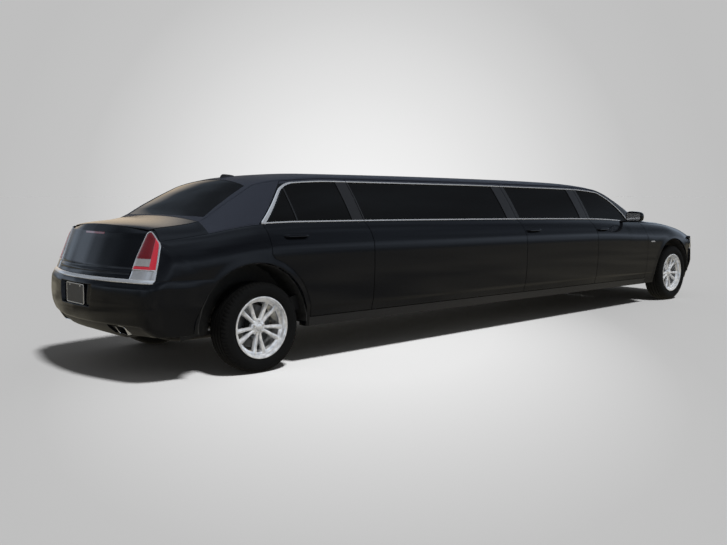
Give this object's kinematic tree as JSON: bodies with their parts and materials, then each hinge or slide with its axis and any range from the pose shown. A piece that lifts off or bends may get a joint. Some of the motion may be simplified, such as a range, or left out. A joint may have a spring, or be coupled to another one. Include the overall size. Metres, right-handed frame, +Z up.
{
  "type": "stretch limousine",
  "caption": "Stretched saloon with opening doors, bonnet and boot lid, steered front wheels and a lounge cabin, on wheels that roll.",
  "frame": {"origin": "on the ground under the middle of the car", "axes": "+X forward, +Y to the car's left, +Z up"},
  "size_m": [8.5984, 2.195, 1.5751],
  "materials": {
    "bar_cabinet": "lacquered",
    "bonnet": "gloss black",
    "boot_lid": "gloss black",
    "couch": "black upholstery",
    "dashboard": "soft black",
    "door_fifth_right": "gloss black",
    "door_front_left": "gloss black",
    "door_front_right": "gloss black",
    "door_rear_left": "gloss black",
    "door_rear_right": "gloss black",
    "engine": "dark, bare",
    "exhaust": "dark, bare",
    "fender_left": "gloss black",
    "fender_right": "gloss black",
    "floor_pan": "satin black",
    "front_bumper": "gloss black",
    "front_crossmember": "dark, bare",
    "front_seats": "black upholstery",
    "glass_fifth_right": "dark tinted",
    "glass_front_left": "dark tinted",
    "glass_front_right": "dark tinted",
    "glass_rear_left": "dark tinted",
    "glass_rear_right": "dark tinted",
    "grille": "bright",
    "headlamp_left": "clear lens",
    "headlamp_right": "clear lens",
    "knuckle_front_left": "dark, bare",
    "knuckle_front_right": "dark, bare",
    "mirror_left": "gloss black",
    "mirror_right": "gloss black",
    "partition": "padded, black",
    "quarter_panel_left": "gloss black",
    "quarter_panel_right": "gloss black",
    "rear_axle": "dark, bare",
    "rear_bumper": "gloss black",
    "rear_window": "dark tinted",
    "roof": "covered in dark grained vinyl",
    "side_frame_left": "satin black",
    "side_frame_right": "satin black",
    "side_glass_left_front": "dark tinted",
    "side_glass_left_rear": "dark tinted",
    "side_glass_right": "dark tinted",
    "side_panel_left": "gloss black",
    "side_panel_right": "gloss black",
    "tail_lamp_left": "red lens",
    "tail_lamp_right": "red lens",
    "tyre_front_left": "black rubber",
    "tyre_front_right": "black rubber",
    "tyre_rear_left": "black rubber",
    "tyre_rear_right": "black rubber",
    "wheel_front_left": "polished",
    "wheel_front_right": "polished",
    "wheel_rear_left": "polished",
    "wheel_rear_right": "polished",
    "windscreen": "dark tinted"
  },
  "bodies": {
    "chassis": {"bar_cabinet": "bar_cabinet", "couch": "couch", "dashboard": "dashboard", "engine": "engine", "exhaust": "exhaust", "fender_left": "fender_left", "fender_right": "fender_right", "floor_pan": "floor_pan", "front_bumper": "front_bumper", "front_crossmember": "front_crossmember", "front_seats": "front_seats", "grille": "grille", "headlamp_left": "headlamp_left", "headlamp_right": "headlamp_right", "partition": "partition", "quarter_panel_left": "quarter_panel_left", "quarter_panel_right": "quarter_panel_right", "rear_axle": "rear_axle", "rear_bumper": "rear_bumper", "rear_window": "rear_window", "roof": "roof", "side_frame_left": "side_frame_left", "side_frame_right": "side_frame_right", "side_glass_left_front": "side_glass_left_front", "side_glass_left_rear": "side_glass_left_rear", "side_glass_right": "side_glass_right", "side_panel_left": "side_panel_left", "side_panel_right": "side_panel_right", "tail_lamp_left": "tail_lamp_left", "tail_lamp_right": "tail_lamp_right", "windscreen": "windscreen"},
    "bonnet": {"bonnet": "bonnet"},
    "boot_lid": {"boot_lid": "boot_lid"},
    "door_fifth_right": {"door_fifth_right": "door_fifth_right", "glass_fifth_right": "glass_fifth_right"},
    "door_front_left": {"door_front_left": "door_front_left", "glass_front_left": "glass_front_left", "mirror_left": "mirror_left"},
    "door_front_right": {"door_front_right": "door_front_right", "glass_front_right": "glass_front_right", "mirror_right": "mirror_right"},
    "door_rear_left": {"door_rear_left": "door_rear_left", "glass_rear_left": "glass_rear_left"},
    "door_rear_right": {"door_rear_right": "door_rear_right", "glass_rear_right": "glass_rear_right"},
    "knuckle_front_left": {"knuckle_front_left": "knuckle_front_left"},
    "knuckle_front_right": {"knuckle_front_right": "knuckle_front_right"},
    "wheel_front_left": {"tyre_front_left": "tyre_front_left", "wheel_front_left": "wheel_front_left"},
    "wheel_front_right": {"tyre_front_right": "tyre_front_right", "wheel_front_right": "wheel_front_right"},
    "wheel_rear_left": {"tyre_rear_left": "tyre_rear_left", "wheel_rear_left": "wheel_rear_left"},
    "wheel_rear_right": {"tyre_rear_right": "tyre_rear_right", "wheel_rear_right": "wheel_rear_right"}
  },
  "joints": [
    {"name": "door_rear_right_hinge", "type": "hinge", "parent": "chassis", "child": "door_rear_right", "pos_m": [-2.02662, -0.9565, 0.70352], "axis": [0.0098, 0, 1], "range_deg": [0, 65]},
    {"name": "door_rear_left_hinge", "type": "hinge", "parent": "chassis", "child": "door_rear_left", "pos_m": [-2.02662, 0.9565, 0.70352], "axis": [-0.0098, 0, -1], "range_deg": [0, 65]},
    {"name": "door_fifth_right_hinge", "type": "hinge", "parent": "chassis", "child": "door_fifth_right", "pos_m": [1.5382, -0.9565, 0.66845], "axis": [0.0098, 0, 1], "range_deg": [0, 65]},
    {"name": "door_front_right_hinge", "type": "hinge", "parent": "chassis", "child": "door_front_right", "pos_m": [2.69315, -0.9565, 0.6571], "axis": [0.0098, 0, 1], "range_deg": [0, 65]},
    {"name": "door_front_left_hinge", "type": "hinge", "parent": "chassis", "child": "door_front_left", "pos_m": [2.69315, 0.9565, 0.6571], "axis": [-0.0098, 0, -1], "range_deg": [0, 65]},
    {"name": "bonnet_hinge", "type": "hinge", "parent": "chassis", "child": "bonnet", "pos_m": [2.86751, 0, 1.09935], "axis": [0, -1, 0], "range_deg": [0, 55]},
    {"name": "boot_lid_hinge", "type": "hinge", "parent": "chassis", "child": "boot_lid", "pos_m": [-3.59264, 0, 1.21816], "axis": [0, 1, 0], "range_deg": [0, 75]},
    {"name": "steer_right", "type": "hinge", "parent": "chassis", "child": "knuckle_front_right", "pos_m": [3.416, -0.715, 0.355], "axis": [0.0098, 0, 1], "range_deg": [-33, 33]},
    {"name": "roll_front_right", "type": "hinge", "parent": "knuckle_front_right", "child": "wheel_front_right", "pos_m": [3.416, -0.81, 0.355], "axis": [0, 1, 0], "continuous": true},
    {"name": "roll_rear_right", "type": "hinge", "parent": "chassis", "child": "wheel_rear_right", "pos_m": [-3.193, -0.81, 0.355], "axis": [0, 1, 0], "continuous": true},
    {"name": "steer_left", "type": "hinge", "parent": "chassis", "child": "knuckle_front_left", "pos_m": [3.416, 0.715, 0.355], "axis": [0.0098, 0, 1], "range_deg": [-33, 33]},
    {"name": "roll_front_left", "type": "hinge", "parent": "knuckle_front_left", "child": "wheel_front_left", "pos_m": [3.416, 0.81, 0.355], "axis": [0, 1, 0], "continuous": true},
    {"name": "roll_rear_left", "type": "hinge", "parent": "chassis", "child": "wheel_rear_left", "pos_m": [-3.193, 0.81, 0.355], "axis": [0, 1, 0], "continuous": true}
  ]
}
